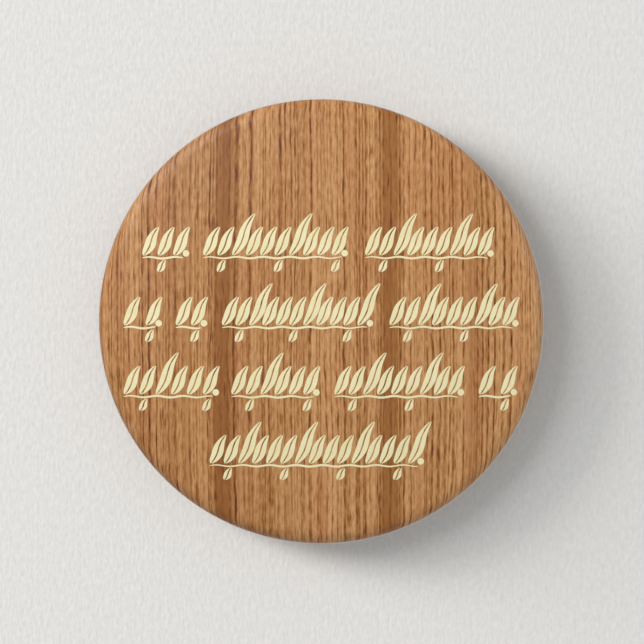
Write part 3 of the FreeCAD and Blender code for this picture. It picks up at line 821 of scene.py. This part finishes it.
def tube(centre, radii, sides):
    """A round tube: point (i, j) is centre_i + radius_i (cos a_j n_i + sin a_j b_i), ends closed.

    The normal n is carried along without twist: at each step it loses its part along the heading.
    """
    heading = np.gradient(centre, axis=0)
    heading /= np.linalg.norm(heading, axis=1, keepdims=True)
    normal = np.zeros_like(centre)
    carried = np.cross(heading[0], (0.0, 0.6, 0.8))
    for index, ahead in enumerate(heading):
        carried = carried - ahead * np.dot(carried, ahead)
        carried /= np.linalg.norm(carried)
        normal[index] = carried
    binormal = np.cross(heading, normal)
    angle = np.linspace(0, 2 * math.pi, sides, endpoint=False)[None, :, None]
    ring = np.cos(angle) * normal[:, None, :] + np.sin(angle) * binormal[:, None, :]
    points = (centre[:, None, :] + radii[:, None, None] * ring).reshape(-1, 3)
    points = np.concatenate([points, centre[:1], centre[-1:]])
    first_ring, last_ring = np.arange(sides), (len(centre) - 1) * sides + np.arange(sides)
    total = len(centre) * sides
    faces = [
        grid_quads(len(centre), sides, wrap_columns=True)[:, ::-1],
        fan(total, first_ring, outwards_first=True),
        fan(total + 1, last_ring, outwards_first=False),
    ]
    return points * MM, faces


# %% Measures of the wire
BASE_Y, SPLIT_X = -0.77, 7.5
SPLIT_PLACE = (SPLIT_X, BASE_Y, WIRE_LINE_Z)
BEND_X, ARM_START_X = 14.8, 14.75
BEND_MIDDLE = np.array((BEND_X, 0.4674, 7.2425))
OPENING = np.array((0.0, math.sqrt(0.5), math.sqrt(0.5)))
CRANK_RADIUS, CRANK_ANGLE, CRANK_RUN = 5.0, 10.0, 2.26
CORNER_X, CORNER_RADIUS, HOOK_RISE = -14.5, 1.0, 1.09
HOOK_RADIUS, HOOK_SWEEP = 1.1, 93.0
POINT_START_X, POINT_TIP_X, TIP_RADIUS = -13.5, -18.5, 0.04

hook_moves = [
    ("straight", SPLIT_X - CORNER_X),
    ("bend", (0, 1, 0), CORNER_RADIUS, 90),
    ("straight", HOOK_RISE),
    ("bend", (0, 0, 1), HOOK_RADIUS, HOOK_SWEEP),
]
hook_line = wire_line(SPLIT_PLACE, (-1, 0, 0), hook_moves)

across_bend = BEND_MIDDLE - (BEND_X, BASE_Y, WIRE_LINE_Z)
bend_radius = float(np.linalg.norm(across_bend))
pin_moves = [
    ("straight", BEND_X - SPLIT_X),
    ("bend", across_bend / bend_radius, bend_radius, 180),
    ("straight", BEND_X - ARM_START_X),
    ("bend", -OPENING, CRANK_RADIUS, CRANK_ANGLE),
    ("straight", CRANK_RUN),
]
arm_line = wire_line(SPLIT_PLACE, (1, 0, 0), pin_moves)
print(f"spring bend radius {bend_radius:.3f} mm, hook end at {np.round(hook_line[-1], 2)} mm")


# %% [markdown]
# ## Nickel-plated wire
#
# Drawn wire carries fine lines along its length from the die, and the thin nickel over it is
# bright with a slightly warm cast and short dull rub marks. The lines have to follow the wire round
# its bends, so this finish reads the tube's own UV map: U is the share of the way round and V the
# distance along, in millimetres.


# %% Wire finish
def nickel_wire():
    """Bright nickel with draw lines along the wire, short rub marks and a little warm tarnish."""
    nickel = Finish("nickel_spring_wire")
    run = nickel.node("UVMap", {}, uv_map="wire_run")

    def run_noise(round_cells, cells_per_mm, detail):
        """Noise with a number of cells once round the wire and along each millimetre of it."""
        place = nickel.node("Mapping", {"Vector": run, "Scale": (round_cells, cells_per_mm, 1)})
        return nickel.node("TexNoise", {"Vector": place, "Scale": 1.0, "Detail": detail})

    lines = run_noise(9, 0.12, 3.0)
    dull = nickel.span(run_noise(1.5, 2.2, 2.0), 0.52, 0.72)
    tarnish = nickel.span(nickel.noise((4, 4, 4)), 0.45, 0.75, 0.0, 0.35)
    colour = nickel.mix(tarnish, (0.80, 0.78, 0.74, 1), (0.66, 0.61, 0.53, 1))
    colour = nickel.mix(nickel.span(lines, 0.2, 0.5, 0.35, 0.0), colour, (0.45, 0.44, 0.42, 1))
    roughness = nickel.span(lines, 0.25, 0.75, 0.16, 0.26)
    roughness = nickel.total(roughness, nickel.times(dull, 0.14))
    inputs = {"Base Color": colour, "Metallic": 1.0, "Roughness": roughness}
    inputs["Normal"] = nickel.bump(lines, 0.003, 0.5)
    return nickel.finish(nickel.node("BsdfPrincipled", inputs))


NICKEL = nickel_wire()
SIDES, CAP_SHARE = 40, 0.3


def wire_piece(name, centre, radii):
    """A wire's tube with a UV map: U is the share of the way round, V the distance along in mm."""
    piece = make_piece(name, *tube(centre, radii, SIDES), NICKEL, sharp_angle=50)
    steps = np.linalg.norm(np.diff(centre, axis=0), axis=1)
    along = np.concatenate([[0], np.cumsum(steps)])
    u = np.concatenate([np.tile(np.arange(SIDES) / SIDES, len(centre)), [0.5, 0.5]])
    v = np.concatenate([np.repeat(along, SIDES), [along[0], along[-1]]])
    give_uv(piece, "wire_run", u, v, once_round=True)
    return piece


# %% The hook's half of the wire, held by the badge
hook_end = hook_line[-1]
hook_heading = hook_end - hook_line[-2]
hook_heading /= np.linalg.norm(hook_heading)
rounding = np.radians(np.linspace(15, 85, 6))
cap_line = hook_end + CAP_SHARE * WIRE_RADIUS * (np.sin(rounding)[:, None] - 1) * hook_heading
cap_radii = WIRE_RADIUS * (1 - CAP_SHARE + CAP_SHARE * np.cos(rounding))
hook_radii = np.concatenate([np.full(len(hook_line) - 1, WIRE_RADIUS), cap_radii])
hook_line = np.concatenate([hook_line[:-1], cap_line])
hook_wire = wire_piece("pin_wire_hook_side", hook_line, hook_radii)
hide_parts("base_wire")
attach(hook_wire, "badge")

# %% The spring bend, shank and point
ALONG_X = np.array((1.0, 0.0, 0.0))
crank = math.radians(CRANK_ANGLE)
crank_heading = -math.cos(crank) * ALONG_X - math.sin(crank) * OPENING
crank_side = -math.sin(crank) * ALONG_X + math.cos(crank) * OPENING
crank_back = [("bend", crank_side, CRANK_RADIUS, CRANK_ANGLE)]
crank_end = wire_line(arm_line[-1], crank_heading, crank_back)
shank_share = np.array([0.05, 0.35, 0.65, 0.97, 1.0])[:, None]
point_start = np.array((POINT_START_X, *crank_end[-1, 1:]))
shank = crank_end[-1] + shank_share * (point_start - crank_end[-1])
point_share = np.linspace(0, 1, 40)[1:]
cone = point_start + point_share[:, None] * (POINT_TIP_X - POINT_START_X) * ALONG_X
cone_radii = WIRE_RADIUS + (TIP_RADIUS - WIRE_RADIUS) * point_share**1.15
pin_line = np.concatenate([arm_line, crank_end[1:], shank, cone])
pin_radii = np.concatenate([np.full(len(pin_line) - len(cone), WIRE_RADIUS), cone_radii])
pin_wire = wire_piece("pin_wire_point_side", pin_line, pin_radii)
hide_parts("spring_bend", "pin_arm")
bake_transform(pin_wire)
print("shank runs at", np.round(crank_end[-1], 3), "mm and its point is at x =", POINT_TIP_X)

# %% [markdown]
# ## Wall, light and camera
#
# The badge hangs against a pale, plain wall. The wall carries the shadow, and the shadow says how
# deep the badge is, so the wall stands just behind the hook and not further back. Its face is a
# fibrous paper: short upright fibres and crumbs from two noises, in colour and in bump. Its rear is
# clear, so the back of the badge can be looked at too, and it is left out of reflections for the
# same reason.

# %% Wall
WALL_CLEARANCE_MM, WALL_HALF_MM = 0.1, 600.0
wall_y = cad_box[1].y + WALL_CLEARANCE_MM * MM


def wall_paper():
    """Matt pale paper with short upright fibres on its front, and clear from behind."""
    wall = Finish("pale_wall_paper")
    fibres = wall.noise((0.45, 1, 1.15), detail=2.5, roughness=0.55, offset=(1, 0, 4))
    crumbs = wall.noise((0.6, 1, 0.7), offset=(7, 0, 2))
    cloud = wall.noise((60, 1, 60))
    weave = wall.total(wall.times(fibres, 0.6), wall.times(crumbs, 0.4))
    tone = wall.span(weave, 0.35, 0.65)
    colour = wall.mix(tone, (0.744, 0.766, 0.776, 1), (0.824, 0.848, 0.858, 1))
    colour = wall.mix(wall.span(cloud, 0.3, 0.7, 0.0, 0.3), colour, (0.764, 0.788, 0.802, 1))
    bump = wall.bump(weave, 0.14, 0.45)
    matt = wall.node("BsdfDiffuse", {"Color": colour, "Roughness": 0.5, "Normal": bump})
    clear = wall.node("BsdfTransparent", {})
    behind = wall.node("NewGeometry", {}, output="Backfacing")
    return wall.finish(wall.node("MixShader", {0: behind, 1: matt, 2: clear}))


edge = np.linspace(-WALL_HALF_MM, WALL_HALF_MM, 41)
across, up = np.meshgrid(edge, edge, indexing="ij")
points = np.stack([across * MM, np.full_like(across, wall_y), up * MM], axis=-1).reshape(-1, 3)
wall = make_piece("wall_backdrop", points, [grid_quads(len(edge), len(edge))], wall_paper())
for ray in ("shadow", "diffuse", "glossy", "transmission"):
    setattr(wall, "visible_" + ray, False)

# %% [markdown]
# ## Light
#
# Soft light comes from the upper left, with a weak fill from the right. Each light is linked to the
# pieces that it may light, so that shading and shadow are set apart. The key and the fill light
# the badge, and two warmer lights only the wall: one sets the shadow's dark core, and the other
# rakes along the wall and draws the long fade. An even pale surround fills the rest. Three dim
# lights behind light only metal pieces, because on a real wall no light comes from there.


# %% Lights and surround
def soft_light(name, off_axis, turned_up, distance, size, power, receivers, colour=(1, 1, 1)):
    """A rectangular light facing the badge, off_axis degrees from the wall's normal, front or rear.

    turned_up says how far round the normal it stands, in degrees up from the left. Its width runs
    towards the normal and its height round it. It lights only the receivers.
    """
    lean, turn = math.radians(off_axis), math.radians(turned_up)
    sideways, upwards = -math.sin(lean) * math.cos(turn), math.sin(lean) * math.sin(turn)
    back = Vector((sideways, -math.cos(lean), upwards))
    beside = Vector((0, 1, 0)).cross(back).normalized()
    lamp = bpy.data.lights.new(name, "AREA")
    lamp.shape = "RECTANGLE"
    lamp.size, lamp.size_y = size
    lamp.energy = power
    lamp.color = colour
    holder = bpy.data.objects.new(name, lamp)
    holder.matrix_world = Matrix((beside.cross(back), beside, back)).transposed().to_4x4()
    holder.location = back * distance
    holder.visible_camera = False
    scene_objects.link(holder)
    group = bpy.data.collections.new(name + "_receivers")
    for piece in receivers:
        group.objects.link(piece)
    holder.light_linking.receiver_collection = group
    print(f"{name}: {power} W at {[round(value, 2) for value in holder.location]} m")


back_pieces = [back_plate, hook_wire, pin_wire, front_shell]
badge_pieces = [printed_disc, ornament, clear_film, *back_pieces]
WARM_WHITE = (1.0, 0.92, 0.86)
soft_light("key_left", 53, 48, 0.9, (1.0, 0.45), 6.8, badge_pieces)
soft_light("fill_right", 64, 165, 0.9, (0.45, 0.6), 1.5, badge_pieces)
soft_light("wall_near", 50, 29, 0.9, (0.62, 0.28), 3.9, [wall], WARM_WHITE)
soft_light("wall_raking", 73, 20, 0.9, (0.46, 0.28), 7.5, [wall], WARM_WHITE)
soft_light("rear_high", 130, 140, 0.7, (0.5, 0.4), 1.5, back_pieces)
soft_light("rear_low", 140, 8, 0.8, (0.35, 0.5), 0.9, back_pieces)
soft_light("rear_card", 126, 205, 0.2, (0.12, 0.22), 0.03, back_pieces)

SURROUND = ((1.0, 0.99, 0.97, 1), 0.48)
SEEN_SURROUND = ((0.985, 0.98, 0.965, 1), 0.78)
world = bpy.data.worlds.new("pale_surround")
bpy.context.scene.world = world
world.use_nodes = True
world_nodes, world_links = world.node_tree.nodes, world.node_tree.links
world_nodes.clear()
path = world_nodes.new("ShaderNodeLightPath")
choose = world_nodes.new("ShaderNodeMixShader")
world_out = world_nodes.new("ShaderNodeOutputWorld")
world_links.new(path.outputs["Is Camera Ray"], choose.inputs[0])
for index, (colour, strength) in enumerate((SURROUND, SEEN_SURROUND), start=1):
    glow = world_nodes.new("ShaderNodeBackground")
    glow.inputs["Color"].default_value = colour
    glow.inputs["Strength"].default_value = strength
    world_links.new(glow.outputs[0], choose.inputs[index])
world_links.new(choose.outputs[0], world_out.inputs["Surface"])
bpy.context.scene.view_settings.view_transform = "Standard"

# %% [markdown]
# ## Camera
#
# A long lens looks squarely at the face, so the rim stays a true circle. The frame is wider than
# the badge, which leaves room for the shadow.

# %% Camera
LENS_MM, SENSOR_MM, FRAME_MM = 150.0, 36.0, 82.8
RIM_PLANE_Y, AIM_X, AIM_Z = -1.5, 0.116, -0.09
lens = bpy.data.cameras.new("camera")
lens.lens = LENS_MM
lens.sensor_width = SENSOR_MM
lens.clip_start, lens.clip_end = 0.01, 10.0
camera = bpy.data.objects.new("camera", lens)
distance = FRAME_MM * LENS_MM / SENSOR_MM
camera.location = (AIM_X * MM, (RIM_PLANE_Y - distance) * MM, AIM_Z * MM)
camera.rotation_euler = (math.radians(90), 0.0, 0.0)
scene_objects.link(camera)
bpy.context.scene.camera = camera
print(f"camera {distance:.0f} mm from the rim, frame {FRAME_MM} mm wide")
